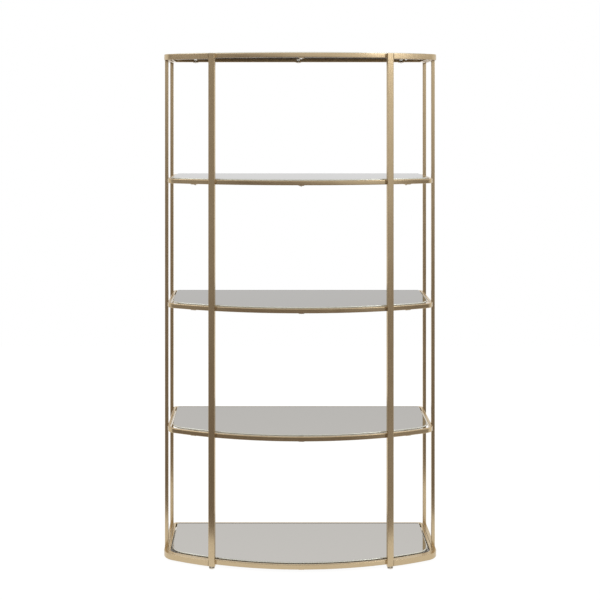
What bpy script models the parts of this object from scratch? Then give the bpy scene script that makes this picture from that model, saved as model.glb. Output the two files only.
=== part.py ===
"""Bow-fronted open shelving: a frame of champagne metal tube with five glass shelves.

Metres, +Z up. The bow faces -Y, and the origin is on the floor under the middle of the plan.
Each side has a front, a corner and a back post, with a top and a bottom rail that wrap the
front corner. Five closed rims run between the sides on the same bowed plan line, and each
carries its glass on clear bumpers, which are pressed through six tabs welded under the rim.
"""

import math

import bmesh
import bpy
from mathutils import Matrix, Vector

# Overall sizes
FRAME_WIDTH = 1.0152
FRAME_DEPTH = 0.405
FRAME_TOP = 1.874
SHELF_COUNT = 5

# Plan line: the bow at the rims' outer face, the corner bend at the rails' outer face
BOW_RADIUS = 1.12
CORNER_RADIUS = 0.060

# Tube of the side rails, as deep as the posts
TUBE_DEPTH = 0.013
RAIL_HEIGHT = 0.021
RAIL_EDGE = 0.0012

# Front posts of flat tube, and the slim square posts behind them
FRONT_POST_SPACING = 0.6486
FRONT_POST_FACE = 0.024
FRONT_POST_WALL = 0.0015
SLIM_POST_WALL = 0.0012
POST_ROUND = 0.0016
CORNER_POST_BEHIND_BEND = 0.027

# Shelf rims
RIM_HEIGHT = 0.017
RIM_DEPTH = 0.011
RIM_EDGE = 0.001
RIM_BACK_RADIUS = 0.012
LOWEST_RIM_LIFT = 0.0035

# Tabs welded under the rims
TAB_WIDTH = 0.020
TAB_DROP = 0.003
TAB_WELD = 0.0005
TAB_UNDERLAP = 0.009
TAB_HOLE_SETBACK = 0.012
TAB_HOLE_RADIUS = 0.003
FRONT_TAB_FROM_SIDE = 0.1013
BACK_TAB_FROM_SIDE = 0.088

# Glass shelves
PANEL_THICKNESS = 0.006
PANEL_PROUD = 0.0035
PANEL_MARGIN = 0.005
PANEL_FRONT_RADIUS = 0.070
PANEL_BACK_RADIUS = 0.008
PANEL_EDGE = 0.0008

# Clear bumpers
CUP_RADIUS = 0.009
CUP_LIP = 0.0015
WAIST_RADIUS = 0.0045
BASE_RADIUS = 0.0062
BASE_HEIGHT = 0.0022
NECK_CLEARANCE = 0.0004
BULB_RADIUS = 0.0045
BULB_TIP_RADIUS = 0.0022
BULB_LENGTH = 0.005
BULB_TAPER = 0.002

# Screw feet and the threaded inserts of the front posts
FOOT_HEIGHT = 0.0075
FOOT_RADIUS = 0.0105
FOOT_EDGE = 0.001
PAD_HEIGHT = 0.0045
COLLAR_RADIUS = 0.0058
STUD_RADIUS = 0.003
STUD_REACH = 0.017
STUD_CHAMFER = 0.0008
INSERT_HEIGHT = 0.020

# Clearances and the overrun of every cutter
SEAT_GAP = 0.0003
THREAD_GAP = 0.0003
STUD_END_GAP = 0.0005
CUT_OVERRUN = 0.004

# Facets
BOW_STEPS = 11
BEND_STEPS = 6
BACK_STEPS = 3
POST_ROUND_STEPS = 2
TAB_END_STEPS = 6
BUMPER_SIDES = 7
HOLE_SIDES = 10
FOOT_SIDES = 16
EDGE_ANGLE = math.radians(60)
SHARP_ANGLE = math.radians(35)

RAIL_OUT = SEAT_GAP + TUBE_DEPTH
SIDE_FACE = FRAME_WIDTH / 2 - RAIL_OUT
BACK_Y = FRAME_DEPTH / 2
BOW_CENTRE_Y = BOW_RADIUS - FRAME_DEPTH / 2
POST_BOW_RADIUS = BOW_RADIUS + SEAT_GAP + TUBE_DEPTH / 2
POST_ANGLE = math.asin(FRONT_POST_SPACING / 2 / POST_BOW_RADIUS)
LOWEST_RIM = FOOT_HEIGHT + LOWEST_RIM_LIFT
SHELF_PITCH = (FRAME_TOP - RIM_HEIGHT - LOWEST_RIM) / (SHELF_COUNT - 1)
PANEL_LOW = RIM_HEIGHT + PANEL_PROUD - PANEL_THICKNESS
SIDES = {"left": -1, "right": 1}


def clear_scene():
    """Take out whatever the file opened with."""
    for existing in list(bpy.data.objects):
        bpy.data.objects.remove(existing, do_unlink=True)


def principled(name, colour, roughness, metallic):
    """Plain material of one colour and shine."""
    material = bpy.data.materials.new(name)
    material.use_nodes = True
    shader = material.node_tree.nodes["Principled BSDF"]
    shader.inputs["Base Color"].default_value = (*colour, 1)
    shader.inputs["Roughness"].default_value = roughness
    shader.inputs["Metallic"].default_value = metallic
    return material


def champagne_metal(piece):
    """Satin champagne finish on steel tube."""
    return principled(piece + "_champagne", (0.44, 0.34, 0.22), 0.34, 1)


def shelf_glass(piece):
    """Thick glass that looks pale grey."""
    return principled(piece + "_glass", (0.52, 0.50, 0.47), 0.06, 0)


def clear_plastic(piece):
    """Soft clear vinyl."""
    return principled(piece + "_vinyl", (0.80, 0.80, 0.77), 0.25, 0)


def foot_plating(piece):
    """Brown nickel plating on a turned foot."""
    return principled(piece + "_plating", (0.30, 0.25, 0.18), 0.35, 1)


def insert_nylon(piece):
    """Black nylon of a threaded plug."""
    return principled(piece + "_nylon", (0.02, 0.02, 0.02), 0.5, 0)


def add_piece(name, mesh, location=(0, 0, 0), turn=0, parent=None):
    """Put a mesh into the scene as a named piece."""
    piece = bpy.data.objects.new(name, mesh)
    piece.location = location
    piece.rotation_euler = (0, 0, turn)
    piece.parent = parent
    bpy.context.scene.collection.objects.link(piece)
    return piece


def add_helper(name, mesh, parent):
    """Hidden shape, placed by the piece that it cuts or joins."""
    helper = add_piece(name, mesh, parent=parent)
    helper.hide_render = True
    helper.display_type = "WIRE"
    return helper


def combine(piece, helper, operation):
    """Cut a helper from a piece, or weld it on."""
    modifier = piece.modifiers.new(helper.name, "BOOLEAN")
    modifier.operation = operation
    modifier.object = helper
    modifier.solver = "EXACT"


def soften(piece, width):
    """Break the long square edges of a piece."""
    modifier = piece.modifiers.new("edges", "BEVEL")
    modifier.width = width
    modifier.segments = 1
    modifier.limit_method = "ANGLE"
    modifier.angle_limit = EDGE_ANGLE


def closed_mesh(name, work, material=None):
    """Turn the faces of a closed bmesh outwards and make it a mesh, smooth across its rounds."""
    bmesh.ops.recalc_face_normals(work, faces=work.faces)
    mesh = bpy.data.meshes.new(name)
    work.to_mesh(mesh)
    work.free()
    mesh.shade_smooth()
    mesh.set_sharp_from_angle(angle=SHARP_ANGLE)
    if material is not None:
        mesh.materials.append(material)
    return mesh


def raised(name, work, height, material=None):
    """Extrude every face of a flat sheet upwards into a closed solid."""
    sheet = list(work.faces)
    grown = bmesh.ops.extrude_face_region(work, geom=sheet)["geom"]
    upper = [part for part in grown if isinstance(part, bmesh.types.BMVert)]
    bmesh.ops.translate(work, verts=upper, vec=(0, 0, height))
    return closed_mesh(name, work, material)


def strip(name, outer, inner, low, height, closed, material=None):
    """Solid between two plan lines that have equally many points."""
    work = bmesh.new()
    lines = [[work.verts.new((x, y, low)) for x, y in line] for line in (outer, inner)]
    count = len(outer)
    for here in range(count if closed else count - 1):
        after = (here + 1) % count
        work.faces.new((lines[0][here], lines[0][after], lines[1][after], lines[1][here]))
    return raised(name, work, height, material)


def plate(name, outline, low, height, material=None):
    """Solid on a closed plan outline."""
    work = bmesh.new()
    work.faces.new([work.verts.new((x, y, low)) for x, y in outline])
    return raised(name, work, height, material)


def turned(name, profile, sides, material=None):
    """Solid of revolution about Z, from (radius, height) points that start and end on the axis."""
    work = bmesh.new()
    points = [work.verts.new((radius, 0, height)) for radius, height in profile]
    edges = [work.edges.new(pair) for pair in zip(points, points[1:])]
    bmesh.ops.spin(
        work, geom=points + edges, cent=(0, 0, 0), axis=(0, 0, 1), angle=math.tau, steps=sides
    )
    bmesh.ops.remove_doubles(work, verts=work.verts, dist=SEAT_GAP / 100)
    return closed_mesh(name, work, material)


def bores(name, radius, low, high, places):
    """Round cutters between two heights, one at each place."""
    work = bmesh.new()
    for place in places:
        centre = place @ Matrix.Translation((0, 0, (low + high) / 2))
        bmesh.ops.create_cone(
            work, cap_ends=True, segments=HOLE_SIDES, radius1=radius, radius2=radius,
            depth=high - low, matrix=centre,
        )
    return closed_mesh(name, work)


def rounded_rectangle(width, depth, radius):
    """Outline about the origin with rounded corners."""
    outline = []
    for corner in range(4):
        sign_x = 1 if corner in (0, 3) else -1
        sign_y = 1 if corner in (0, 1) else -1
        centre_x = sign_x * (width / 2 - radius)
        centre_y = sign_y * (depth / 2 - radius)
        for step in range(POST_ROUND_STEPS + 1):
            angle = math.pi / 2 * (corner + step / POST_ROUND_STEPS)
            outline.append((centre_x + radius * math.cos(angle), centre_y + radius * math.sin(angle)))
    return outline


def half_line(out, corner, start=None):
    """Right half of a plan line: along the bow, round the front corner, to the side.

    It lies a distance out from the rims' outer face. The bend of radius corner touches the bow
    inside and the side line. The line begins at the middle of the bow, or at the angle start.
    """
    bow = BOW_RADIUS + out
    centre_x = SIDE_FACE + out - corner
    bend = math.asin(centre_x / (bow - corner))
    centre_y = BOW_CENTRE_Y - (bow - corner) * math.cos(bend)
    angles = [bend * step / BOW_STEPS for step in range(BOW_STEPS)]
    if start is not None:
        angles = [start] + [angle for angle in angles if angle > start]
    points = [(bow * math.sin(a), BOW_CENTRE_Y - bow * math.cos(a)) for a in angles]
    for step in range(BEND_STEPS + 1):
        angle = bend + (math.pi / 2 - bend) * step / BEND_STEPS
        points.append((centre_x + corner * math.sin(angle), centre_y - corner * math.cos(angle)))
    return points


def concentric_corner(out):
    """Bend radius of a line that keeps its distance to the rails' outer face."""
    return CORNER_RADIUS - RAIL_OUT + out


def closed_line(out, front_corner, back_corner):
    """Whole plan outline of a rim or a panel, a distance out from the rims' outer face."""
    right = half_line(out, front_corner)
    side = SIDE_FACE + out - back_corner
    back = BACK_Y + out - back_corner
    for step in range(BACK_STEPS + 1):
        angle = math.pi / 2 * step / BACK_STEPS
        right.append((side + back_corner * math.cos(angle), back + back_corner * math.sin(angle)))
    return right + [(-x, y) for x, y in right[:0:-1]]


def bend_end():
    """Y at which the front corner bend runs into the straight side."""
    return half_line(RAIL_OUT, CORNER_RADIUS)[-1][1]


def front_post_spot(sign):
    """Location and turn of a front post, which stands square to the bow."""
    angle = sign * POST_ANGLE
    x = POST_BOW_RADIUS * math.sin(angle)
    y = BOW_CENTRE_Y - POST_BOW_RADIUS * math.cos(angle)
    return x, y, angle


def back_foot_spot(sign):
    """Location of a back foot, under the back end of a bottom rail."""
    return sign * (FRAME_WIDTH / 2 - TUBE_DEPTH / 2), BACK_Y - FOOT_RADIUS - SEAT_GAP


def make_rail(name, sign, low):
    """Side rail, from the front post's side round the corner to the back."""
    clear = math.asin((FRONT_POST_FACE / 2 + SEAT_GAP) / (BOW_RADIUS + SEAT_GAP))
    start = POST_ANGLE + clear
    lines = []
    for out in (RAIL_OUT, SEAT_GAP):
        line = half_line(out, concentric_corner(out), start) + [(SIDE_FACE + out, BACK_Y)]
        lines.append([(sign * x, y) for x, y in line])
    mesh = strip(name, *lines, 0, RAIL_HEIGHT, False, champagne_metal(name))
    rail = add_piece(name, mesh, (0, 0, low))
    soften(rail, RAIL_EDGE)
    return rail


def bore_rail(rail, sign):
    """Blind bore in a bottom rail for the back foot's stud."""
    x, y = back_foot_spot(sign)
    top = STUD_REACH + STUD_END_GAP
    name = rail.name + "_bore"
    radius = STUD_RADIUS + THREAD_GAP
    mesh = bores(name, radius, -CUT_OVERRUN, top, [Matrix.Translation((x, y, 0))])
    combine(rail, add_helper(name, mesh, rail), "DIFFERENCE")


def make_front_post(name, sign):
    """Flat tube closed at the top and open at the foot."""
    x, y, turn = front_post_spot(sign)
    outline = rounded_rectangle(FRONT_POST_FACE, TUBE_DEPTH, POST_ROUND)
    height = FRAME_TOP - FOOT_HEIGHT
    mesh = plate(name, outline, 0, height, champagne_metal(name))
    post = add_piece(name, mesh, (x, y, FOOT_HEIGHT), turn)
    hollow_name = name + "_hollow"
    hollow_outline = post_hollow_outline(0)
    hollow_height = height - FRONT_POST_WALL + CUT_OVERRUN
    hollow = plate(hollow_name, hollow_outline, -CUT_OVERRUN, hollow_height)
    combine(post, add_helper(hollow_name, hollow, post), "DIFFERENCE")


def post_hollow_outline(gap):
    """Inside of a front post's tube, drawn in by a gap."""
    inset = FRONT_POST_WALL + gap
    radius = max(POST_ROUND - inset, SEAT_GAP)
    return rounded_rectangle(FRONT_POST_FACE - 2 * inset, TUBE_DEPTH - 2 * inset, radius)


def make_insert(name, sign):
    """Threaded plug in the open foot of a front post."""
    x, y, turn = front_post_spot(sign)
    mesh = plate(name, post_hollow_outline(SEAT_GAP), 0, INSERT_HEIGHT, insert_nylon(name))
    insert = add_piece(name, mesh, (x, y, FOOT_HEIGHT), turn)
    bore_name = name + "_bore"
    radius = STUD_RADIUS + THREAD_GAP
    high = INSERT_HEIGHT + CUT_OVERRUN
    bore = bores(bore_name, radius, -CUT_OVERRUN, high, [Matrix.Identity(4)])
    combine(insert, add_helper(bore_name, bore, insert), "DIFFERENCE")


def make_slim_post(name, sign, front_y):
    """Square tube, open at both ends, standing on a bottom rail under a top rail."""
    outer = rounded_rectangle(TUBE_DEPTH, TUBE_DEPTH, POST_ROUND)
    inner_side = TUBE_DEPTH - 2 * SLIM_POST_WALL
    inner = rounded_rectangle(inner_side, inner_side, POST_ROUND - SLIM_POST_WALL)
    low = FOOT_HEIGHT + RAIL_HEIGHT + SEAT_GAP
    height = FRAME_TOP - RAIL_HEIGHT - SEAT_GAP - low
    mesh = strip(name, outer, inner, 0, height, True, champagne_metal(name))
    x = sign * (FRAME_WIDTH / 2 - TUBE_DEPTH / 2)
    add_piece(name, mesh, (x, front_y + TUBE_DEPTH / 2, low))


def foot_profile():
    """Pad with broken edges, collar under the frame, and stud."""
    collar_top = FOOT_HEIGHT - SEAT_GAP
    stud_top = FOOT_HEIGHT + STUD_REACH
    return [
        (0, 0),
        (FOOT_RADIUS - FOOT_EDGE, 0),
        (FOOT_RADIUS, FOOT_EDGE),
        (FOOT_RADIUS, PAD_HEIGHT - FOOT_EDGE),
        (FOOT_RADIUS - FOOT_EDGE, PAD_HEIGHT),
        (COLLAR_RADIUS, PAD_HEIGHT),
        (COLLAR_RADIUS, collar_top),
        (STUD_RADIUS, collar_top),
        (STUD_RADIUS, stud_top - STUD_CHAMFER),
        (STUD_RADIUS - STUD_CHAMFER, stud_top),
        (0, stud_top),
    ]


def make_feet():
    """Four screw feet, each with its origin on its screw's axis."""
    mesh = turned("foot", foot_profile(), FOOT_SIDES, foot_plating("foot"))
    for side, sign in SIDES.items():
        x, y = front_post_spot(sign)[:2]
        add_piece(f"front_{side}_foot", mesh, (x, y, 0))
        x, y = back_foot_spot(sign)
        add_piece(f"back_{side}_foot", mesh, (x, y, 0))


def tab_places():
    """Spots on a rim's inner face, +Y pointing to the middle of the shelf, by name."""
    inner_bow = BOW_RADIUS - RIM_DEPTH
    front_x = SIDE_FACE - FRONT_TAB_FROM_SIDE
    back_x = SIDE_FACE - BACK_TAB_FROM_SIDE
    spots = {}
    for name, sign in (("left", -1), ("centre", 0), ("right", 1)):
        angle = math.asin(sign * front_x / inner_bow)
        front_y = BOW_CENTRE_Y - inner_bow * math.cos(angle)
        spots["front_" + name] = (sign * front_x, front_y, angle)
        spots["back_" + name] = (sign * back_x, BACK_Y - RIM_DEPTH, math.pi)
    places = {}
    for name, (x, y, turn) in spots.items():
        places[name] = Matrix.Translation((x, y, 0)) @ Matrix.Rotation(turn, 4, "Z")
    return places


def tab_mesh(places):
    """Six tabs: each runs under the rim, and its round end is centred on its hole."""
    half = TAB_WIDTH / 2
    outline = [(-half, -TAB_UNDERLAP), (half, -TAB_UNDERLAP)]
    for step in range(TAB_END_STEPS + 1):
        angle = math.pi * step / TAB_END_STEPS
        outline.append((half * math.cos(angle), TAB_HOLE_SETBACK + half * math.sin(angle)))
    work = bmesh.new()
    for place in places:
        points = [place @ Vector((x, y, -TAB_DROP)) for x, y in outline]
        work.faces.new([work.verts.new(point) for point in points])
    return raised("tabs", work, TAB_DROP + TAB_WELD)


def rim_mesh():
    """Closed bowed ring of bar."""
    lines = []
    for out in (0, -RIM_DEPTH):
        lines.append(closed_line(out, concentric_corner(out), RIM_BACK_RADIUS + out))
    return strip("rim", *lines, 0, RIM_HEIGHT, True, champagne_metal("rim"))


def panel_mesh():
    """Glass panel with wide front corners, clear of the rim all round."""
    out = -RIM_DEPTH - PANEL_MARGIN
    outline = closed_line(out, PANEL_FRONT_RADIUS, PANEL_BACK_RADIUS)
    return plate("panel", outline, 0, PANEL_THICKNESS, shelf_glass("panel"))


def bumper_profile():
    """Bulb under the tab, neck through its hole, base on it, and cup under the glass."""
    tip = -TAB_DROP - BULB_LENGTH
    shoulder = -TAB_DROP - SEAT_GAP
    base = TAB_WELD + SEAT_GAP
    top = PANEL_LOW - SEAT_GAP
    neck = TAB_HOLE_RADIUS - NECK_CLEARANCE
    return [
        (0, tip),
        (BULB_TIP_RADIUS, tip),
        (BULB_RADIUS, tip + BULB_TAPER),
        (BULB_RADIUS, shoulder),
        (neck, shoulder),
        (neck, base),
        (BASE_RADIUS, base),
        (BASE_RADIUS, base + BASE_HEIGHT),
        (WAIST_RADIUS, base + BASE_HEIGHT),
        (CUP_RADIUS, top - CUP_LIP),
        (CUP_RADIUS, top),
        (0, top),
    ]


def make_shelves():
    """Five shelves, each a rim with its tabs, a glass panel and six bumpers."""
    places = tab_places()
    rim_shape = rim_mesh()
    tab_shape = tab_mesh(places.values())
    high = TAB_WELD + CUT_OVERRUN
    low = -TAB_DROP - CUT_OVERRUN
    hole_centre = Matrix.Translation((0, TAB_HOLE_SETBACK, 0))
    holes = [place @ hole_centre for place in places.values()]
    hole_shape = bores("tab_holes", TAB_HOLE_RADIUS, low, high, holes)
    panel_shape = panel_mesh()
    bumper_shape = turned("bumper", bumper_profile(), BUMPER_SIDES, clear_plastic("bumper"))
    for level in range(SHELF_COUNT):
        shelf = f"shelf_{level + 1}"
        rim = add_piece(shelf + "_rim", rim_shape, (0, 0, LOWEST_RIM + level * SHELF_PITCH))
        soften(rim, RIM_EDGE)
        combine(rim, add_helper(shelf + "_tabs", tab_shape, rim), "UNION")
        combine(rim, add_helper(shelf + "_tab_holes", hole_shape, rim), "DIFFERENCE")
        panel = add_piece(shelf + "_glass", panel_shape, (0, 0, PANEL_LOW), parent=rim)
        soften(panel, PANEL_EDGE)
        for spot, place in places.items():
            centre = (place @ hole_centre).translation
            add_piece(f"{shelf}_bumper_{spot}", bumper_shape, centre, parent=rim)


def make_side(side, sign):
    """One side of the frame: two rails, three posts and the front post's insert."""
    bottom = make_rail(f"bottom_{side}_rail", sign, FOOT_HEIGHT)
    bore_rail(bottom, sign)
    make_rail(f"top_{side}_rail", sign, FRAME_TOP - RAIL_HEIGHT)
    make_front_post(f"front_{side}_post", sign)
    make_insert(f"front_{side}_insert", sign)
    make_slim_post(f"corner_{side}_post", sign, bend_end() + CORNER_POST_BEHIND_BEND)
    make_slim_post(f"back_{side}_post", sign, BACK_Y - TUBE_DEPTH)


clear_scene()
for side_name, side_sign in SIDES.items():
    make_side(side_name, side_sign)
make_shelves()
make_feet()
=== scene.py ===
"""Looks of a bow-fronted shelving unit: a satin champagne frame with grey mirror glass shelves.

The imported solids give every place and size. The bow faces -Y and +Z is up, in metres.
"""

import math

import bmesh
import bpy
import numpy as np
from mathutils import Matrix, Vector


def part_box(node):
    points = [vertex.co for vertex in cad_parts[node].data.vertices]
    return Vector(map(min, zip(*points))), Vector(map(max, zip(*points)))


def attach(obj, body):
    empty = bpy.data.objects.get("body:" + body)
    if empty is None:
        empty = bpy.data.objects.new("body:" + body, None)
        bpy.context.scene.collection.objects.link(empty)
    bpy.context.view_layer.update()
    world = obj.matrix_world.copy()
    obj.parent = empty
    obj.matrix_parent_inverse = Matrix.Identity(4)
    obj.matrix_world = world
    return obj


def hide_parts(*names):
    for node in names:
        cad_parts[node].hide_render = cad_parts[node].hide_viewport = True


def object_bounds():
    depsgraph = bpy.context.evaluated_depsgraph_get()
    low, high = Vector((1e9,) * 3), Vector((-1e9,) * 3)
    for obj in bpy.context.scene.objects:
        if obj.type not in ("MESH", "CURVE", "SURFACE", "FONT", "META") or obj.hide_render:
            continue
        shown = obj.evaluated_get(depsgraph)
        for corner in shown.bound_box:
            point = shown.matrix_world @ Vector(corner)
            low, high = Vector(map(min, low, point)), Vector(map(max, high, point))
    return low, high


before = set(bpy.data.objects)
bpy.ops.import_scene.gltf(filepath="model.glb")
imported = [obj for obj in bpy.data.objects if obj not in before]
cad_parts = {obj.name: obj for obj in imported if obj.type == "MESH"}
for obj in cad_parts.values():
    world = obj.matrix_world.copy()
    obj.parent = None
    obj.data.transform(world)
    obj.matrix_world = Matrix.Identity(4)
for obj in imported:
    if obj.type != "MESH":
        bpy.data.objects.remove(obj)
cad_low, cad_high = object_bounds()


# Side rails
# Two lengths of 21 x 13 mm steel tube a side, bent round the front corner, with welded end plates.
# They are electroplated champagne under satin lacquer. The bottom ones are bored for the back feet.
BOW_RADIUS = 1.12
CORNER_RADIUS = 0.060
SEAT_GAP = 0.0003
TUBE_DEPTH = 0.013
TUBE_EDGE = 0.0016
END_EDGE = 0.0006
POST_HALF_FACE = 0.012
BORE_RADIUS = 0.0033
BORE_TOP = 0.025
BORE_MOUTH = 0.0004
BORE_COLUMNS = 40
BOW_ROWS = 48
BEND_ROWS = 20
EDGE_POINTS = 5
END_POINTS = 4
SHARP_ANGLE = math.radians(40)
CHAMPAGNE = "#C8B493"
CHAMPAGNE_DEEP = "#BDA885"
PATCH_MM = 70
BRUSH_MM = 0.9
BRUSH_STRETCH = 60
BRUSH_RANGE = (0.3, 0.7)
BRUSH_BUMP = 0.08
BRUSH_DEPTH = 0.0001
SATIN_ROUGHNESS = (0.17, 0.28)

rail_low, rail_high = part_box("bottom_right_rail")
side_x = rail_high.x - SEAT_GAP - TUBE_DEPTH
back_y = rail_high.y
bow_centre_y = cad_low.y + BOW_RADIUS
post_low, post_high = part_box("front_right_post")
post_x = (post_low.x + post_high.x) / 2
post_bow_radius = BOW_RADIUS + SEAT_GAP + TUBE_DEPTH / 2
post_turn = math.asin(post_x / post_bow_radius)


def linear(hex_colour):
    """sRGB hex to linear: v / 12.92 up to 0.04045, and ((v + 0.055) / 1.055) ** 2.4 above it."""
    v = np.array([int(hex_colour[i:i + 2], 16) for i in (1, 3, 5)]) / 255
    curve = ((v + 0.055) / 1.055) ** 2.4
    return (*np.where(v <= 0.04045, v / 12.92, curve), 1.0)


def add_node(tree, kind, settings, values, links):
    """One node with its settings, the values on its sockets and the sockets that feed it."""
    node = tree.nodes.new(kind)
    for key, value in settings.items():
        setattr(node, key, value)
    for key, value in values.items():
        node.inputs[key].default_value = value
    for key, source in links.items():
        tree.links.new(source, node.inputs[key])
    return node


def new_material(name, sockets):
    """Material with a Principled shader whose constants are on its own sockets."""
    material = bpy.data.materials.new(name)
    material.use_nodes = True
    tree = material.node_tree
    shader = tree.nodes["Principled BSDF"]
    for key, value in sockets.items():
        shader.inputs[key].default_value = value
    place = add_node(tree, "ShaderNodeTexCoord", {}, {}, {}).outputs["Object"]
    return material, tree, shader, place


def champagne_plate(name, stretch):
    """Electroplated champagne under satin lacquer, brushed along the tube before plating.

    The eye sees soft reflections, faint warm patches and fine streaks along the length. stretch
    draws the brush noise out along the tube: the streaks are 0.9 mm apart, coarser than the real
    0.2 mm so that they show.
    """
    material, tree, shader, place = new_material(name, {"Metallic": 1.0})
    patch = add_node(tree, "ShaderNodeTexNoise", {}, {"Scale": 1000 / PATCH_MM, "Detail": 2.0},
                     {"Vector": place})
    along = add_node(tree, "ShaderNodeMapping", {}, {"Scale": stretch}, {"Vector": place})
    brush = add_node(tree, "ShaderNodeTexNoise", {}, {"Scale": 1000 / BRUSH_MM, "Detail": 3.0},
                     {"Vector": along.outputs["Vector"]})
    tint = add_node(tree, "ShaderNodeMix", {"data_type": "RGBA"},
                    {6: linear(CHAMPAGNE), 7: linear(CHAMPAGNE_DEEP)}, {0: patch.outputs["Fac"]})
    tree.links.new(tint.outputs[2], shader.inputs["Base Color"])
    rough = add_node(tree, "ShaderNodeMapRange", {},
                     {"From Min": BRUSH_RANGE[0], "From Max": BRUSH_RANGE[1],
                      "To Min": SATIN_ROUGHNESS[0], "To Max": SATIN_ROUGHNESS[1]},
                     {"Value": brush.outputs["Fac"]})
    tree.links.new(rough.outputs["Result"], shader.inputs["Roughness"])
    bump = add_node(tree, "ShaderNodeBump", {},
                    {"Strength": BRUSH_BUMP, "Distance": BRUSH_DEPTH},
                    {"Height": brush.outputs["Fac"]})
    tree.links.new(bump.outputs["Normal"], shader.inputs["Normal"])
    return material


def plan_half(out, corner, back_corner, start):
    """Right half of a plan line that lies out from the rims' outer face, with its normals.

    A point stands at its turn t from straight ahead: arc centre + radius * (sin t, -cos t). The
    corner's arc touches the bow inside and the side line. The back corner's touches the side and
    the back line, and with no back corner the line runs on to the back.
    """
    bow = BOW_RADIUS + out
    centre_x = side_x + out - corner
    bend = math.asin(centre_x / (bow - corner))
    centre_y = bow_centre_y - (bow - corner) * math.cos(bend)
    bow_turns = np.linspace(start, bend, BOW_ROWS, endpoint=False)
    bend_turns = np.linspace(bend, math.pi / 2, BEND_ROWS)
    arcs = [(0, bow_centre_y, bow, bow_turns), (centre_x, centre_y, corner, bend_turns)]
    if back_corner is None:
        arcs.append((side_x + out, back_y, 0, np.array([math.pi / 2])))
    else:
        back_turns = np.linspace(math.pi / 2, math.pi, BEND_ROWS)
        centre = (side_x + out - back_corner, back_y + out - back_corner)
        arcs.append((*centre, back_corner, back_turns))
    turns = np.concatenate([arc[3] for arc in arcs])
    normals = np.stack([np.sin(turns), -np.cos(turns)], 1)
    centres = np.concatenate([np.tile(arc[:2], (len(arc[3]), 1)) for arc in arcs])
    radii = np.concatenate([np.full(len(arc[3]), arc[2]) for arc in arcs])
    return centres + radii[:, None] * normals, normals


def round_box(width, height, radius, inset):
    """Closed rounded rectangle about the origin.

    Each corner is an arc: corner centre + (radius - inset) * (cos a, sin a).
    """
    signs = np.array([(1, 1), (-1, 1), (-1, -1), (1, -1)])
    angles = np.arange(4)[:, None] * math.pi / 2 + np.linspace(0, math.pi / 2, EDGE_POINTS)
    centres = signs[:, None] * (np.array([width, height]) / 2 - radius)
    arcs = np.stack([np.cos(angles), np.sin(angles)], -1)
    return (centres + (radius - inset) * arcs).reshape(-1, 2)


def swept(points, normals, section):
    """Grid of a section of (out, up) carried along a plan line: point + out * normal, at up."""
    flat = points[:, None] + section[..., :1] * normals[:, None]
    up = np.broadcast_to(section[..., 1:], flat.shape[:2] + (1,))
    return np.concatenate([flat, up], -1)


def shell(grid, ring):
    """Vertices, quads and caps of a grid whose columns close. A ring's rows close as well."""
    rows, columns = grid.shape[:2]
    index = np.arange(rows * columns).reshape(rows, columns)
    here = index if ring else index[:-1]
    after = np.roll(index, -1, 0) if ring else index[1:]
    quads = np.stack([here, np.roll(here, -1, 1), np.roll(after, -1, 1), after], -1)
    caps = [] if ring else [index[0, ::-1], index[-1]]
    return grid.reshape(-1, 3), quads.reshape(-1, 4), caps


def closed_mesh(name, shells, material):
    """Mesh of closed shells, its faces turned outwards and smooth across its rounds."""
    mesh = bpy.data.meshes.new(name)
    firsts = np.cumsum([0] + [len(points) for points, quads, caps in shells])
    faces = []
    for (points, quads, caps), first in zip(shells, firsts):
        faces += (quads + first).tolist() + [(cap + first).tolist() for cap in caps]
    mesh.from_pydata(np.concatenate([points for points, quads, caps in shells]), [], faces)
    work = bmesh.new()
    work.from_mesh(mesh)
    bmesh.ops.recalc_face_normals(work, faces=work.faces)
    work.to_mesh(mesh)
    work.free()
    mesh.shade_smooth()
    mesh.set_sharp_from_angle(angle=SHARP_ANGLE)
    mesh.materials.append(material)
    return mesh


def add_piece(name, mesh, body, nodes):
    """Finished piece that stands for its CAD nodes and rides on their body.

    Weighted normals keep the flats flat beside their rounded edges.
    """
    piece = bpy.data.objects.new(name, mesh)
    bpy.context.scene.collection.objects.link(piece)
    weighted = piece.modifiers.new("flat_faces", "WEIGHTED_NORMAL")
    weighted.keep_sharp = True
    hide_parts(*nodes)
    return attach(piece, body)


def turned(profile, centre, columns):
    """Profile of (radius, height) turned upright: centre + radius * (cos a, sin a), at height."""
    angles = np.linspace(0, math.tau, columns, endpoint=False)
    ring = np.stack([np.cos(angles), np.sin(angles)], -1)
    flat = profile[:, None, :1] * ring + np.array(centre[:2])
    up = np.broadcast_to(profile[:, None, 1:] + centre[2], flat.shape[:2] + (1,))
    return np.concatenate([flat, up], -1)


def bored(mesh, centre, profile):
    """Mesh with a turned hole cut out of it."""
    holder = bpy.data.objects.new("bored", mesh)
    bore = shell(turned(profile, centre, BORE_COLUMNS), False)
    cutter = bpy.data.objects.new("cutter", closed_mesh("bore", [bore], mesh.materials[0]))
    for item in (holder, cutter):
        bpy.context.scene.collection.objects.link(item)
    cut = holder.modifiers.new("bore", "BOOLEAN")
    cut.object = cutter
    bpy.context.view_layer.update()
    finished = holder.evaluated_get(bpy.context.evaluated_depsgraph_get())
    result = bpy.data.meshes.new_from_object(finished)
    for item in (holder, cutter):
        bpy.data.objects.remove(item)
    result.name = mesh.name
    return result


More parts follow.
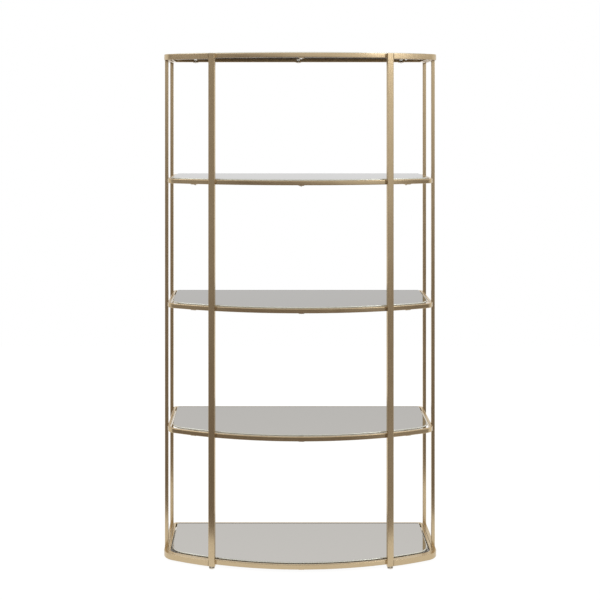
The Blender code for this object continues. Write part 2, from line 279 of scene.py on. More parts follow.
def rail_shell(sign, low, high):
    """One rail: its section swept along the corner line, with both ends drawn in to a soft edge.

    Near an end the section's inset is e * (1 - cos a) where the line has e * (1 - sin a) to go.
    """
    height = high - low
    middle = SEAT_GAP + TUBE_DEPTH / 2
    start = post_turn + math.asin((POST_HALF_FACE + SEAT_GAP) / (BOW_RADIUS + SEAT_GAP))
    radius = CORNER_RADIUS - TUBE_DEPTH / 2
    points, normals = plan_half(middle, radius, None, start)
    angles = np.linspace(0, math.pi / 2, END_POINTS)
    insets = END_EDGE * (1 - np.cos(angles))
    backs = END_EDGE * (1 - np.sin(angles))
    first_along = points[1] - points[0]
    first_along /= np.linalg.norm(first_along)
    front_rows = points[0] + backs[::-1, None] * first_along
    back_rows = points[-1] - backs[:, None] * np.array([0, 1])
    points = np.concatenate([front_rows, points[1:-1], back_rows])
    normals = np.concatenate([np.tile(normals[0], (END_POINTS, 1)), normals[1:-1],
                              np.tile(normals[-1], (END_POINTS, 1))])
    rows_inset = np.concatenate([insets[::-1], np.zeros(len(points) - 2 * END_POINTS), insets])
    sections = np.stack([round_box(TUBE_DEPTH, height, TUBE_EDGE, inset) for inset in rows_inset])
    sections[..., 1] += (low + high) / 2
    mirror = np.array([sign, 1])
    return shell(swept(points * mirror, normals * mirror, sections), False)


side_champagne = champagne_plate("champagne_plate_side_rail", (1, 1 / BRUSH_STRETCH, 1))
post_champagne = champagne_plate("champagne_plate_post", (1, 1, 1 / BRUSH_STRETCH))
rim_champagne = champagne_plate("champagne_plate_rim", (1 / BRUSH_STRETCH, 1 / BRUSH_STRETCH, 1))
bore_profile = np.array([(BORE_RADIUS + 2 * BORE_MOUTH, -BORE_MOUTH), (BORE_RADIUS, BORE_MOUTH),
                         (BORE_RADIUS, BORE_TOP - rail_low.z)])
for side, sign in (("left", -1), ("right", 1)):
    for end in ("bottom", "top"):
        name = f"{end}_{side}_rail"
        low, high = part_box(name)
        mesh = closed_mesh(name + "_tube", [rail_shell(sign, low.z, high.z)], side_champagne)
        if end == "bottom":
            foot_low, foot_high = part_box(f"back_{side}_foot")
            centre = ((foot_low.x + foot_high.x) / 2, (foot_low.y + foot_high.y) / 2, low.z)
            mesh = bored(mesh, centre, bore_profile)
        add_piece(name + "_tube", mesh, "frame", [name])


# Front posts
# Two lengths of 24 x 13 mm flat oval-edged steel tube, square to the bow and the full height. The
# top is plated shut and ground, the foot is open for the insert, and weld fillets hold the rims.
POST_EDGE = 0.0018
POST_WALL = 0.0015
POST_TOP_EDGE = 0.0010
POST_FOOT_EDGE = 0.0003
BEAD_RADIUS = 0.0008
BEAD_RIPPLE = 0.12
BEAD_PITCH = 0.0011
BEAD_COLUMNS = 10
BEAD_ROWS = 40
BEAD_REACH = 0.97
BEAD_SHORT = 0.002
BEAD_BESIDE = 0.0002
RIM_HEIGHT = 0.017
SHELVES = range(1, 6)


def tube_shell(width, depth, edge, profile, centre, turn, ring):
    """Upright tube: each (inset, height) of the profile is a rounded rectangle about centre."""
    loops = np.stack([round_box(width, depth, edge, inset) for inset, height in profile])
    c, s = math.cos(turn), math.sin(turn)
    flat = loops @ np.array([(c, s), (-s, c)]) + np.array(centre)
    up = np.broadcast_to(np.array(profile)[:, None, 1:], flat.shape[:2] + (1,))
    return shell(np.concatenate([flat, up], -1), ring)


def bead_shell(path, across, radius):
    """Weld bead: a tube along path with ripples, r * (1 + ripple * sin(2 pi s / pitch)).

    The ring at a row is path + r * (cos a * side + sin a * other), both square to the path. r runs
    out as sqrt(1 - u^8) towards both ends, where u goes from -0.97 to 0.97.
    """
    steps = np.linalg.norm(np.diff(path, axis=0), axis=1)
    run = np.concatenate([[0], np.cumsum(steps)])
    u = np.linspace(-BEAD_REACH, BEAD_REACH, len(path))
    r = radius * (1 + BEAD_RIPPLE * np.sin(math.tau * run / BEAD_PITCH)) * np.sqrt(1 - u ** 8)
    along = np.gradient(path, axis=0)
    along /= np.linalg.norm(along, axis=1, keepdims=True)
    side = np.cross(along, across)
    side /= np.linalg.norm(side, axis=1, keepdims=True)
    other = np.cross(side, along)
    angles = np.linspace(0, math.tau, BEAD_COLUMNS, endpoint=False)[None, :, None]
    rings = np.cos(angles) * side[:, None] + np.sin(angles) * other[:, None]
    return shell(path[:, None] + r[:, None, None] * rings, False)


rim_tops = [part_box(f"shelf_{n}_rim")[1].z for n in SHELVES]
for side, sign in (("left", -1), ("right", 1)):
    name = f"front_{side}_post"
    low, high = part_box(name)
    turn = sign * post_turn
    out = np.array([math.sin(turn), -math.cos(turn)])
    along = np.array([math.cos(turn), math.sin(turn)])
    centre = np.array([0, bow_centre_y]) + post_bow_radius * out
    angles = np.linspace(0, math.pi / 2, END_POINTS)
    crown = np.stack([POST_TOP_EDGE * (1 - np.cos(angles)),
                      high.z - POST_TOP_EDGE * (1 - np.sin(angles))], 1)
    profile = np.concatenate([
        [(POST_WALL, high.z - POST_WALL), (POST_WALL, low.z + POST_FOOT_EDGE)],
        [(POST_WALL - POST_FOOT_EDGE, low.z), (POST_FOOT_EDGE, low.z), (0, low.z + POST_FOOT_EDGE)],
        crown,
    ])
    shells = [tube_shell(2 * POST_HALF_FACE, TUBE_DEPTH, POST_EDGE, profile, centre, turn, False)]
    for rim_top in rim_tops:
        up = np.linspace(rim_top - RIM_HEIGHT + BEAD_SHORT, rim_top - BEAD_SHORT, BEAD_ROWS)
        for edge in (-1, 1):
            foot = np.array([0, bow_centre_y]) + (BOW_RADIUS + SEAT_GAP) * out
            foot = foot + edge * (POST_HALF_FACE + BEAD_BESIDE) * along
            path = np.column_stack([np.tile(foot, (BEAD_ROWS, 1)), up])
            shells.append(bead_shell(path, np.array([*out, 0]), BEAD_RADIUS))
    mesh = closed_mesh(name + "_tube", shells, post_champagne)
    add_piece(name + "_tube", mesh, "frame", [name])


# Slim posts
# Four lengths of 13 mm square steel tube between the side rails, one behind each front corner and
# one at each back end. A rippled weld bead runs round both ends, ground flush at the back.
SLIM_EDGE = 0.0016
SLIM_WALL = 0.0012
SLIM_BEAD = 0.0007
RING_ROWS = 96
RING_CORNER = 1.3


def ring_bead(centre, half, z, radius):
    """Weld bead round a square post, kept within the unit's back.

    Its path is centre + reach * (cos t, sin t), where reach is half / max(|cos t|, |sin t|) and at
    most 1.3 half. The ring at t is path + r * (cos a * outward + sin a * up), and r ripples.
    """
    t = np.linspace(0, math.tau, RING_ROWS, endpoint=False)
    reach = half / np.maximum(np.abs(np.cos(t)), np.abs(np.sin(t)))
    reach = np.minimum(reach, half * RING_CORNER)
    outward = np.stack([np.cos(t), np.sin(t), np.zeros(RING_ROWS)], 1)
    path = reach[:, None] * outward + np.array([*centre, z])
    r = radius * (1 + BEAD_RIPPLE * np.sin(math.tau * reach * t / BEAD_PITCH))
    angles = np.linspace(0, math.tau, BEAD_COLUMNS, endpoint=False)[None, :, None]
    rings = np.cos(angles) * outward[:, None] + np.sin(angles) * np.array([0, 0, 1])
    grid = path[:, None] + r[:, None, None] * rings
    grid[..., 1] = np.minimum(grid[..., 1], back_y)
    return shell(grid, True)


for row in ("corner", "back"):
    for side in ("left", "right"):
        name = f"{row}_{side}_post"
        low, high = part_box(name)
        centre = ((low.x + high.x) / 2, (low.y + high.y) / 2)
        profile = [(0, low.z), (0, high.z), (SLIM_WALL, high.z), (SLIM_WALL, low.z)]
        shells = [tube_shell(TUBE_DEPTH, TUBE_DEPTH, SLIM_EDGE, profile, centre, 0, True)]
        for z in (low.z, high.z):
            shells.append(ring_bead(centre, TUBE_DEPTH / 2, z, SLIM_BEAD))
        mesh = closed_mesh(name + "_tube", shells, post_champagne)
        add_piece(name + "_tube", mesh, "frame", [name])


# Shelf rims
# Five closed rings of 17 x 11 mm steel tube on the bowed plan line. Six lugs cut from 3 mm plate
# are welded under each, punched for the bumpers, and the whole is plated with the frame.
RIM_DEPTH = 0.011
RIM_EDGE = 0.0024
RIM_BACK_RADIUS = 0.012
TAB_HALF = 0.010
TAB_DROP = 0.0022
TAB_WELD = 0.0005
TAB_UNDERLAP = 0.006
TAB_SETBACK = 0.012
TAB_HOLE = 0.003
TAB_EDGE = 0.0003
TAB_ROUND_POINTS = 21
TAB_SIDE_POINTS = 7
TAB_BEAD_START = 0.0006
TAB_BEAD_ROWS = 60
TINY = 1e-9
SPOTS = ("front_left", "front_centre", "front_right", "back_left", "back_centre", "back_right")


def whole_line(out, corner, back_corner):
    """Closed plan line: the right half, and its mirror image on the way back to the front."""
    points, normals = plan_half(out, corner, back_corner, 0)
    mirror = np.array([-1, 1])
    return (np.concatenate([points, points[:0:-1] * mirror]),
            np.concatenate([normals, normals[:0:-1] * mirror]))


def tab_shell(hole, inward, low):
    """Lug round its hole: hole + r(t) * (cos t * inward + sin t * across).

    r(t) is the half width ahead of the hole. Behind it r(t) is the smaller of half width / |sin t|
    and length / |cos t|, which gives the straight sides and the square end.
    """
    length = TAB_SETBACK + TAB_UNDERLAP
    corner = math.pi - math.atan(TAB_HALF / length)
    t = np.concatenate([
        np.linspace(-math.pi / 2, math.pi / 2, TAB_ROUND_POINTS),
        np.linspace(math.pi / 2, corner, TAB_SIDE_POINTS)[1:],
        np.linspace(corner, math.tau - corner, TAB_SIDE_POINTS)[1:],
        np.linspace(-corner, -math.pi / 2, TAB_SIDE_POINTS)[1:-1],
    ])
    sine, cosine = np.maximum(np.abs(np.sin(t)), TINY), np.maximum(np.abs(np.cos(t)), TINY)
    reach = np.where(np.cos(t) > -TINY, TAB_HALF, np.minimum(TAB_HALF / sine, length / cosine))
    drop, rise, e = low - TAB_DROP, low + TAB_WELD, TAB_EDGE
    hole_r = np.full_like(reach, TAB_HOLE)
    rows = [(hole_r + e, drop), (reach - e, drop), (reach, drop + e), (reach, rise - e),
            (reach - e, rise), (hole_r + e, rise), (hole_r, rise - e), (hole_r, drop + e)]
    across = np.array([-inward[1], inward[0]])
    ray = np.cos(t)[:, None] * inward + np.sin(t)[:, None] * across
    flat = np.stack([radius[:, None] * ray + hole for radius, height in rows])
    up = np.broadcast_to(np.array([height for radius, height in rows])[:, None, None],
                         flat.shape[:2] + (1,))
    return shell(np.concatenate([flat, up], -1), True)


def tab_bead(hole, inward, low):
    """Weld bead on three sides of a lug where it lies under its rim.

    Its path is hole + a * inward + b * across, where (a, b) goes in even steps along the three
    sides, at the rim's underside.
    """
    across = np.array([-inward[1], inward[0]])
    near, far, half = -TAB_SETBACK - TAB_BEAD_START, -TAB_SETBACK - TAB_UNDERLAP, TAB_HALF
    corners = np.array([(near, half), (far, half), (far, -half), (near, -half)])
    run = np.concatenate([[0], np.cumsum(np.linalg.norm(np.diff(corners, axis=0), axis=1))])
    s = np.linspace(0, run[-1], TAB_BEAD_ROWS)
    line = np.stack([np.interp(s, run, corners[:, 0]), np.interp(s, run, corners[:, 1])], 1)
    flat = hole + line[:, :1] * inward + line[:, 1:] * across
    path = np.column_stack([flat, np.full(len(flat), low)])
    return bead_shell(path, np.array([0, 0, 1.0]), SLIM_BEAD)


for n in SHELVES:
    name = f"shelf_{n}_rim"
    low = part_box(name)[1].z - RIM_HEIGHT
    section = round_box(RIM_DEPTH, RIM_HEIGHT, RIM_EDGE, 0) + (-RIM_DEPTH / 2, low + RIM_HEIGHT / 2)
    corner = CORNER_RADIUS - SEAT_GAP - TUBE_DEPTH
    points, normals = whole_line(0, corner, RIM_BACK_RADIUS)
    shells = [shell(swept(points, normals, section[None]), True)]
    for spot in SPOTS:
        bulb_low, bulb_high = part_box(f"shelf_{n}_bumper_{spot}")
        hole = np.array([(bulb_low.x + bulb_high.x) / 2, (bulb_low.y + bulb_high.y) / 2])
        if spot.startswith("back"):
            inward = np.array([0.0, -1.0])
        else:
            inward = np.array([0, bow_centre_y]) - hole
            inward /= np.linalg.norm(inward)
        shells.append(tab_shell(hole, inward, low))
        shells.append(tab_bead(hole, inward, low))
    mesh = closed_mesh(name + "_tube", shells, rim_champagne)
    add_piece(name + "_tube", mesh, "frame", [name])


# Bumpers
# Thirty clear soft vinyl bumpers, moulded in one piece. The barbed bulb is pushed through a lug's
# hole from above, and the shallow cup on top grips the glass.
BUMPER_PROFILE = [
    (0.0014, -0.0060), (0.0022, -0.0059), (0.0038, -0.0046), (0.0038, -0.0029), (0.0026, -0.0024),
    (0.0026, 0.0008), (0.0062, 0.0008), (0.0062, 0.0030), (0.0045, 0.0032), (0.0046, 0.0062),
    (0.0090, 0.0127), (0.0090, 0.0142), (0.0080, 0.0142), (0.0060, 0.0134), (0.0020, 0.0132),
]
BUMPER_EASE = 0.0008
BUMPER_EASE_POINTS = 4
BUMPER_COLUMNS = 32
EASE_SHARE = 0.45
VINYL = "#F8F8F4"
VINYL_IOR = 1.53
VINYL_ROUGHNESS = (0.04, 0.14)
VINYL_GRAIN_MM = 2.5


def eased(profile, reach, steps):
    """Line with its corners rounded: (1-t)^2 * before + 2t(1-t) * corner + t^2 * after.

    before and after lie reach along the two sides, and at most 0.45 of a side.
    """
    line = np.array(profile, float)
    spans = np.diff(line, axis=0)
    lengths = np.linalg.norm(spans, axis=1, keepdims=True)
    shares = spans * np.minimum(reach / lengths, EASE_SHARE)
    before, corner, after = line[1:-1] - shares[:-1], line[1:-1], line[1:-1] + shares[1:]
    t = np.linspace(0, 1, steps)[:, None, None]
    curve = (1 - t) ** 2 * before + 2 * t * (1 - t) * corner + t ** 2 * after
    return np.concatenate([line[:1], curve.transpose(1, 0, 2).reshape(-1, 2), line[-1:]])


def clear_vinyl():
    """Clear soft vinyl, moulded: see-through with a slightly dull skin that scatters highlights."""
    material, tree, shader, place = new_material("clear_soft_vinyl", {
        "Base Color": linear(VINYL), "IOR": VINYL_IOR, "Transmission Weight": 1.0})
    grain = add_node(tree, "ShaderNodeTexNoise", {},
                     {"Scale": 1000 / VINYL_GRAIN_MM, "Detail": 2.0}, {"Vector": place})
    rough = add_node(tree, "ShaderNodeMapRange", {},
                     {"To Min": VINYL_ROUGHNESS[0], "To Max": VINYL_ROUGHNESS[1]},
                     {"Value": grain.outputs["Fac"]})
    tree.links.new(rough.outputs["Result"], shader.inputs["Roughness"])
    return material


vinyl = clear_vinyl()
bumper_line = eased(BUMPER_PROFILE, BUMPER_EASE, BUMPER_EASE_POINTS)
for n in SHELVES:
    rim_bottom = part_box(f"shelf_{n}_rim")[1].z - RIM_HEIGHT
    for spot in SPOTS:
        name = f"shelf_{n}_bumper_{spot}"
        low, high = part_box(name)
        centre = ((low.x + high.x) / 2, (low.y + high.y) / 2, rim_bottom)
        moulding = shell(turned(bumper_line, centre, BUMPER_COLUMNS), False)
        mesh = closed_mesh(name + "_vinyl", [moulding], vinyl)
        add_piece(name + "_vinyl", mesh, "frame", [name])


# Shelf glass
# Five panels of 6 mm grey mirror glass, pencil-polished, that lie loose on the bumpers. Paint seals
# the silvering underneath. The same paint on the edge's lower half, which turns from the light, is
# painted shade, and a line of painted shade runs along the back of the top for the shaded gap
# there.
PANEL_MARGIN = 0.005
PANEL_FRONT_RADIUS = 0.070
PANEL_BACK_RADIUS = 0.008
PENCIL_EASE = 0.0027
PENCIL_POINTS = 8
# Width of the line of painted shade along the back of the glass top, and of the flat ring round the
# top that carries it.
SHADE_LINE_WIDTH = 0.007
FLAT_FACE = 0.9
LEVEL_FACE = 0.9999
# Edge faces turned further down than this take the dark paint, which on the edge's lower half is
# painted shade.
PAINTED_BELOW = -0.1
SILVERED, POLISHED, PAINTED = 0, 1, 2
GREY_MIRROR = "#CECBC6"
MIRROR_RIM_TINT = "#D1D1D1"
MIRROR_ROUGHNESS = 0.03
ROLLER_WAVE_MM = 180
WAVE_BUMP = 0.05
WAVE_DEPTH = 0.002
GLASS_EDGE = "#DDDFD6"
EDGE_SILVER = 0.6
EDGE_ROUGHNESS = (0.08, 0.20)
POLISH_MM = 1.5
# Dark paint: the real mirror backing underneath, and painted shade on the edge and along the back.
BACKING_AND_SHADE_PAINT = "#4A4540"
PAINT_ROUGHNESS = 0.7
PAINT_SPECULAR = 0.2
ORANGE_PEEL_MM = 3.0
PEEL_BUMP = 0.1
PEEL_DEPTH = 0.0002


def grey_mirror():
    """Silvered grey float glass: an even reflection, with the faint wave that the rollers leave."""
    material, tree, shader, place = new_material("grey_mirror_float_glass", {
        "Base Color": linear(GREY_MIRROR), "Roughness": MIRROR_ROUGHNESS, "Metallic": 1.0,
        "Specular Tint": linear(MIRROR_RIM_TINT)})
    wave = add_node(tree, "ShaderNodeTexNoise", {},
                    {"Scale": 1000 / ROLLER_WAVE_MM, "Detail": 0.0}, {"Vector": place})
    bump = add_node(tree, "ShaderNodeBump", {}, {"Strength": WAVE_BUMP, "Distance": WAVE_DEPTH},
                    {"Height": wave.outputs["Fac"]})
    tree.links.new(bump.outputs["Normal"], shader.inputs["Normal"])
    return material


def polished_edge():
    """Pencil-polished edge of silvered glass: pale, and half silvery as the back shows through."""
    material, tree, shader, place = new_material("pencil_polished_glass_edge", {
        "Base Color": linear(GLASS_EDGE), "Metallic": EDGE_SILVER})
    polish = add_node(tree, "ShaderNodeTexNoise", {},
                      {"Scale": 1000 / POLISH_MM, "Detail": 2.0}, {"Vector": place})
    rough = add_node(tree, "ShaderNodeMapRange", {},
                     {"To Min": EDGE_ROUGHNESS[0], "To Max": EDGE_ROUGHNESS[1]},
                     {"Value": polish.outputs["Fac"]})
    tree.links.new(rough.outputs["Result"], shader.inputs["Roughness"])
    return material


def backing_and_shade_paint():
    """Dark mirror backing paint, curtain coated: matt, with a faint orange peel.

    Underneath it is the real backing. On the edge's lower half and along the back it is painted
    shade.
    """
    material, tree, shader, place = new_material("mirror_backing_paint", {
        "Base Color": linear(BACKING_AND_SHADE_PAINT), "Roughness": PAINT_ROUGHNESS,
        "Specular IOR Level": PAINT_SPECULAR})
    peel = add_node(tree, "ShaderNodeTexNoise", {},
                    {"Scale": 1000 / ORANGE_PEEL_MM, "Detail": 1.0}, {"Vector": place})
    bump = add_node(tree, "ShaderNodeBump", {}, {"Strength": PEEL_BUMP, "Distance": PEEL_DEPTH},
                    {"Height": peel.outputs["Fac"]})
    tree.links.new(bump.outputs["Normal"], shader.inputs["Normal"])
    return material


mirror_glass = grey_mirror()
edge_finishes = (polished_edge(), backing_and_shade_paint())
for n in SHELVES:
    name = f"shelf_{n}_glass"
    low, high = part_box(name)
    points, normals = whole_line(-RIM_DEPTH - PANEL_MARGIN, PANEL_FRONT_RADIUS, PANEL_BACK_RADIUS)
    corners = [(-SHADE_LINE_WIDTH, low.z), (0, low.z), (0, high.z), (-SHADE_LINE_WIDTH, high.z)]
    edge = eased(corners, PENCIL_EASE, PENCIL_POINTS)
    grid = swept(points, normals, edge[None]).transpose(1, 0, 2)
    mesh = closed_mesh(name + "_panel", [shell(grid, False)], mirror_glass)
    for finish in edge_finishes:
        mesh.materials.append(finish)
    facing, middles = np.empty((2, 3 * len(mesh.polygons)))
    mesh.polygons.foreach_get("normal", facing)
    mesh.polygons.foreach_get("center", middles)
    up = facing[2::3]
    # The dark paint goes on the underside, where it is the real backing, and as painted shade on
    # the edge's lower half and on a line along the back of the top.
    shade_line_at_back = (up > LEVEL_FACE) & (middles[1::3] > high.y - SHADE_LINE_WIDTH)
    kinds = np.select([shade_line_at_back, up > FLAT_FACE, up > PAINTED_BELOW],
                      [PAINTED, SILVERED, POLISHED], PAINTED)
    mesh.polygons.foreach_set("material_index", kinds.astype(np.int32))
    add_piece(name + "_panel", mesh, "frame", [name])


# Inserts
# Two black nylon plugs, moulded and pressed into the open feet of the front posts. Each holds the
# nut that takes its foot's stud.
NYLON = "#1C1B1A"
NYLON_IOR = 1.53
NYLON_ROUGHNESS = (0.42, 0.62)
NYLON_GRAIN_MM = 1.2


def black_nylon():
    """Black moulded nylon: a low gloss, broken by the faint grain of the mould."""
    material, tree, shader, place = new_material("black_moulded_nylon", {
        "Base Color": linear(NYLON), "IOR": NYLON_IOR})
    grain = add_node(tree, "ShaderNodeTexNoise", {},
                     {"Scale": 1000 / NYLON_GRAIN_MM, "Detail": 2.0}, {"Vector": place})
    rough = add_node(tree, "ShaderNodeMapRange", {},
                     {"To Min": NYLON_ROUGHNESS[0], "To Max": NYLON_ROUGHNESS[1]},
                     {"Value": grain.outputs["Fac"]})
    tree.links.new(rough.outputs["Result"], shader.inputs["Roughness"])
    return material


nylon = black_nylon()
for side in ("left", "right"):
    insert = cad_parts[f"front_{side}_insert"]
    insert.data.materials.clear()
    insert.data.materials.append(nylon)


# Screw feet
# Four turned steel feet, satin nickel plated. A round pad and its collar are one with an M6 stud
# of 1 mm pitch, which screws into the insert or the rail so that each foot can be levelled.
FOOT_PROFILE = [
    (0.0040, 0.0000), (0.0105, 0.0000), (0.0105, 0.0045), (0.0058, 0.0045), (0.0058, 0.0072),
    (0.0030, 0.0072),
]
FOOT_EASE = 0.0011
FOOT_EASE_POINTS = 6
FOOT_COLUMNS = 64
STUD_TOP = 0.0245
STUD_RADIUS = 0.003
THREAD_PITCH = 0.001
THREAD_DEPTH = 0.0005
THREAD_ROWS_PER_PITCH = 8
THREAD_POINT = 1.4
SATIN_NICKEL = "#CEC6B8"
SATIN_NICKEL_DEEP = "#BDB4A4"
NICKEL_ROUGHNESS = (0.22, 0.38)
TURNING_MM = 0.8


def thread_grid(centre, low, high):
    """Threaded stud: r = R - depth * |2 * frac(z / pitch - t / 2 pi) - 1| * fade - point.

    fade runs from 0 to 1 over the first pitch, and point from 0 to 1.4 depths over the last one.
    """
    rows = int((high - low) / THREAD_PITCH * THREAD_ROWS_PER_PITCH)
    z = np.linspace(low, high, rows)[:, None]
    t = np.linspace(0, math.tau, FOOT_COLUMNS, endpoint=False)[None]
    phase = np.mod(z / THREAD_PITCH - t / math.tau, 1)
    fade = np.clip((z - low) / THREAD_PITCH, 0, 1)
    point = np.clip((z - high + THREAD_PITCH) / THREAD_PITCH, 0, 1) * THREAD_DEPTH * THREAD_POINT
    r = STUD_RADIUS - THREAD_DEPTH * np.abs(2 * phase - 1) * fade - point
    up = np.broadcast_to(z, r.shape) + centre[2]
    return np.stack([r * np.cos(t) + centre[0], r * np.sin(t) + centre[1], up], -1)


def satin_nickel():
    """Warm satin nickel plate on turned steel: paler than the frame, with faint tool marks.

    The marks are 0.8 mm apart, coarser than real ones so that they show.
    """
    material, tree, shader, place = new_material("satin_nickel_plated_steel", {"Metallic": 1.0})
    marks = add_node(tree, "ShaderNodeTexNoise", {},
                     {"Scale": 1000 / TURNING_MM, "Detail": 3.0}, {"Vector": place})
    tint = add_node(tree, "ShaderNodeMix", {"data_type": "RGBA"},
                    {6: linear(SATIN_NICKEL), 7: linear(SATIN_NICKEL_DEEP)},
                    {0: marks.outputs["Fac"]})
    tree.links.new(tint.outputs[2], shader.inputs["Base Color"])
    rough = add_node(tree, "ShaderNodeMapRange", {},
                     {"To Min": NICKEL_ROUGHNESS[0], "To Max": NICKEL_ROUGHNESS[1]},
                     {"Value": marks.outputs["Fac"]})
    tree.links.new(rough.outputs["Result"], shader.inputs["Roughness"])
    return material


foot_nickel = satin_nickel()
foot_line = eased(FOOT_PROFILE, FOOT_EASE, FOOT_EASE_POINTS)[:-1]
for row in ("front", "back"):
    for side in ("left", "right"):
        name = f"{row}_{side}_foot"
        low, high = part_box(name)
        centre = ((low.x + high.x) / 2, (low.y + high.y) / 2, 0)
        pad = turned(foot_line, centre, FOOT_COLUMNS)
        stud = thread_grid(centre, FOOT_PROFILE[-1][1], STUD_TOP)
        whole = shell(np.concatenate([pad, stud]), False)
        mesh = closed_mesh(name + "_turned", [whole], foot_nickel)
        add_piece(name + "_turned", mesh, name + "_body", [name])


# Studio
# A plain pale floor that ends a little way in front, under a world that is white behind and above
# the unit and dim low down in front, with two soft lamps. The background is plain white.
FLOOR_COLOUR = "#F2F1EF"
FLOOR_ROUGHNESS = 0.9
FLOOR_SPECULAR = 0.1
FLOOR_SPAN = (-3.0, 3.0, -0.42, 3.5)
FLOOR_WHITE = 1.05
FLOOR_WHITE_SHARE = 0.9
SHADE_BOW = (1.085, 1.065)
SHADE_SIDE = (0.492, 0.484)
SHADE_BACK = (0.200, 0.185)
DIM_ROOM = "#8B837E"
BEHIND = (-0.35, 0.30)
SIDE_LIGHT = 0.26
SIDE_START = (0.42, 0.62)
SIDE_TURN = 0.22
SIDE_LEAN = 0.03
BRIGHTER_RIGHT = 0.25
RIGHT_END = (0.80, 0.55)
HORIZON = (-0.05, 0.07)
SOFT_BOXES = (
    ("right_soft_box", (2.0, -2.2, 2.7), (0, 0, 1.2), (1.0, 1.2), 12),
    ("left_soft_box", (-2.4, -1.6, 3.0), (0, 0, 0.8), (1.4, 1.4), 10),
)
CAMERA_PLACE = (-0.1228, -4.0734, 1.6648)
CAMERA_LENS = 64.49
CAMERA_SENSOR = 36
CAMERA_SHIFT = (0.0546, -0.3156)


def seen_or_mirrored(tree, with_gloss):
    """1 for what the camera sees straight or through a clear piece, and by gloss where wanted."""
    path = add_node(tree, "ShaderNodeLightPath", {}, {}, {}).outputs
    seen = add_node(tree, "ShaderNodeMath", {"operation": "MAXIMUM"}, {},
                    {0: path["Is Camera Ray"], 1: path["Is Transmission Ray"]})
    if not with_gloss:
        return seen.outputs["Value"]
    mirrored = add_node(tree, "ShaderNodeMath", {"operation": "MAXIMUM"}, {},
                        {0: seen.outputs["Value"], 1: path["Is Glossy Ray"]})
    return mirrored.outputs["Value"]


def pale_floor():
    """Matt white painted floor, seen and mirrored as mostly plain white, under a faint shadow.

    Inside the lowest shelf's outline, which is within the bow, the sides and the back at once, the
    white is left out, so that the floor there is as dark as its shade.
    """
    material, tree, shader, place = new_material("matt_white_floor_paint", {
        "Base Color": linear(FLOOR_COLOUR), "Roughness": FLOOR_ROUGHNESS,
        "Specular IOR Level": FLOOR_SPECULAR})
    along = add_node(tree, "ShaderNodeSeparateXYZ", {}, {}, {"Vector": place}).outputs
    from_bow = add_node(tree, "ShaderNodeVectorMath", {"operation": "DISTANCE"},
                        {1: (0, bow_centre_y, 0)}, {0: place})
    from_middle = add_node(tree, "ShaderNodeMath", {"operation": "ABSOLUTE"}, {}, {0: along["X"]})
    inside = [add_node(tree, "ShaderNodeMapRange", {}, {"From Min": edge[0], "From Max": edge[1]},
                       {"Value": measure}).outputs["Result"]
              for edge, measure in ((SHADE_BOW, from_bow.outputs["Value"]),
                                    (SHADE_SIDE, from_middle.outputs["Value"]),
                                    (SHADE_BACK, along["Y"]))]
    across = add_node(tree, "ShaderNodeMath", {"operation": "MULTIPLY"}, {},
                      {0: inside[0], 1: inside[1]})
    under = add_node(tree, "ShaderNodeMath", {"operation": "MULTIPLY"}, {},
                     {0: across.outputs["Value"], 1: inside[2]})
    open_floor = add_node(tree, "ShaderNodeMath", {"operation": "MULTIPLY_ADD"},
                          {1: -FLOOR_WHITE_SHARE, 2: FLOOR_WHITE_SHARE},
                          {0: under.outputs["Value"]})
    share = add_node(tree, "ShaderNodeMath", {"operation": "MULTIPLY"}, {},
                     {0: open_floor.outputs["Value"], 1: seen_or_mirrored(tree, True)})
    white = add_node(tree, "ShaderNodeEmission", {},
                     {"Color": (1, 1, 1, 1), "Strength": FLOOR_WHITE}, {})
    mixed = add_node(tree, "ShaderNodeMixShader", {}, {}, {
        0: share.outputs["Value"], 1: shader.outputs["BSDF"], 2: white.outputs["Emission"]})
    tree.links.new(mixed.outputs["Shader"], tree.nodes["Material Output"].inputs["Surface"])
    return material


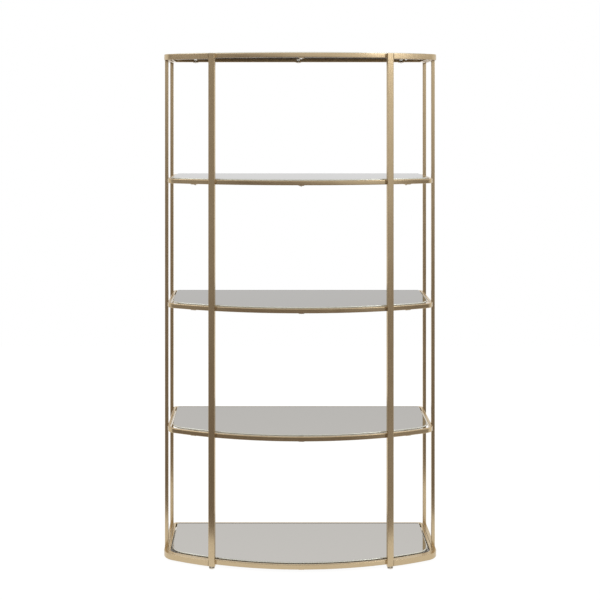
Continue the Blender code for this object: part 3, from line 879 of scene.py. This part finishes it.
def studio_world():
    """World, white towards +Y and upwards, and dim low down towards -Y, less so at the sides.

    Upwards is z + 0.25 x up to a right end, which puts the horizon's light lower on the right. The
    side light is where |x| is large and x * (z + 0.22) is below 0: high on the left, low on the
    right. What the camera sees straight or through a clear piece is white all round.
    """
    world = bpy.data.worlds.new("studio")
    bpy.context.scene.world = world
    world.use_nodes = True
    tree = world.node_tree
    background = tree.nodes["Background"]
    direction = add_node(tree, "ShaderNodeTexCoord", {}, {}, {}).outputs["Generated"]
    along = add_node(tree, "ShaderNodeSeparateXYZ", {}, {}, {"Vector": direction}).outputs
    behind = add_node(tree, "ShaderNodeMapRange", {"interpolation_type": "SMOOTHSTEP"},
                      {"From Min": BEHIND[0], "From Max": BEHIND[1]}, {"Value": along["Y"]})
    right_end = add_node(tree, "ShaderNodeMapRange", {"interpolation_type": "SMOOTHSTEP"},
                         {"From Min": RIGHT_END[0], "From Max": RIGHT_END[1]},
                         {"Value": along["X"]})
    to_right = add_node(tree, "ShaderNodeMath", {"operation": "MULTIPLY"}, {},
                        {0: along["X"], 1: right_end.outputs["Result"]})
    height = add_node(tree, "ShaderNodeMath", {"operation": "MULTIPLY_ADD"}, {1: BRIGHTER_RIGHT},
                      {0: to_right.outputs["Value"], 2: along["Z"]})
    above = add_node(tree, "ShaderNodeMapRange", {"interpolation_type": "SMOOTHSTEP"},
                     {"From Min": HORIZON[0], "From Max": HORIZON[1]},
                     {"Value": height.outputs["Value"]})
    sideways = add_node(tree, "ShaderNodeMath", {"operation": "ABSOLUTE"}, {}, {0: along["X"]})
    side = add_node(tree, "ShaderNodeMapRange", {"interpolation_type": "SMOOTHSTEP"},
                    {"From Min": SIDE_START[0], "From Max": SIDE_START[1], "To Max": SIDE_LIGHT},
                    {"Value": sideways.outputs["Value"]})
    turn = add_node(tree, "ShaderNodeMath", {"operation": "ADD"}, {1: SIDE_TURN}, {0: along["Z"]})
    crossed = add_node(tree, "ShaderNodeMath", {"operation": "MULTIPLY"}, {},
                       {0: along["X"], 1: turn.outputs["Value"]})
    lean = add_node(tree, "ShaderNodeMapRange", {"interpolation_type": "SMOOTHSTEP"},
                    {"From Min": 0.0, "From Max": -SIDE_LEAN}, {"Value": crossed.outputs["Value"]})
    beside = add_node(tree, "ShaderNodeMath", {"operation": "MULTIPLY"}, {},
                      {0: side.outputs["Result"], 1: lean.outputs["Result"]})
    lit = add_node(tree, "ShaderNodeMath", {"operation": "MAXIMUM"}, {},
                   {0: behind.outputs["Result"], 1: above.outputs["Result"]})
    around = add_node(tree, "ShaderNodeMath", {"operation": "MAXIMUM"}, {},
                      {0: lit.outputs["Value"], 1: beside.outputs["Value"]})
    share = add_node(tree, "ShaderNodeMath", {"operation": "MAXIMUM"}, {},
                     {0: around.outputs["Value"], 1: seen_or_mirrored(tree, False)})
    colour = add_node(tree, "ShaderNodeMix", {"data_type": "RGBA"},
                      {6: linear(DIM_ROOM), 7: (1, 1, 1, 1)}, {0: share.outputs["Value"]})
    tree.links.new(colour.outputs[2], background.inputs["Color"])


def soft_lamp(name, place, target, size, power):
    """Rectangular soft box of size in metres and power in watts, from place towards target."""
    lamp = bpy.data.lights.new(name, "AREA")
    lamp.shape = "RECTANGLE"
    lamp.size, lamp.size_y = size
    lamp.energy = power
    holder = bpy.data.objects.new(name, lamp)
    holder.location = place
    holder.rotation_euler = (Vector(target) - Vector(place)).to_track_quat("-Z", "Y").to_euler()
    bpy.context.scene.collection.objects.link(holder)


floor_x, floor_far_x, floor_y, floor_far_y = FLOOR_SPAN
floor_mesh = bpy.data.meshes.new("floor")
floor_mesh.from_pydata([(floor_x, floor_y, 0), (floor_far_x, floor_y, 0),
                        (floor_far_x, floor_far_y, 0), (floor_x, floor_far_y, 0)],
                       [], [(0, 1, 2, 3)])
floor_mesh.materials.append(pale_floor())
floor = bpy.data.objects.new("floor", floor_mesh)
bpy.context.scene.collection.objects.link(floor)
studio_world()
for soft_box in SOFT_BOXES:
    soft_lamp(*soft_box)

camera_data = bpy.data.cameras.new("camera")
camera_data.lens = CAMERA_LENS
camera_data.sensor_width = CAMERA_SENSOR
camera_data.shift_x, camera_data.shift_y = CAMERA_SHIFT
camera = bpy.data.objects.new("camera", camera_data)
camera.location = CAMERA_PLACE
camera.rotation_euler = (math.pi / 2, 0, 0)
bpy.context.scene.collection.objects.link(camera)
bpy.context.scene.camera = camera
bpy.context.scene.view_settings.view_transform = "Standard"
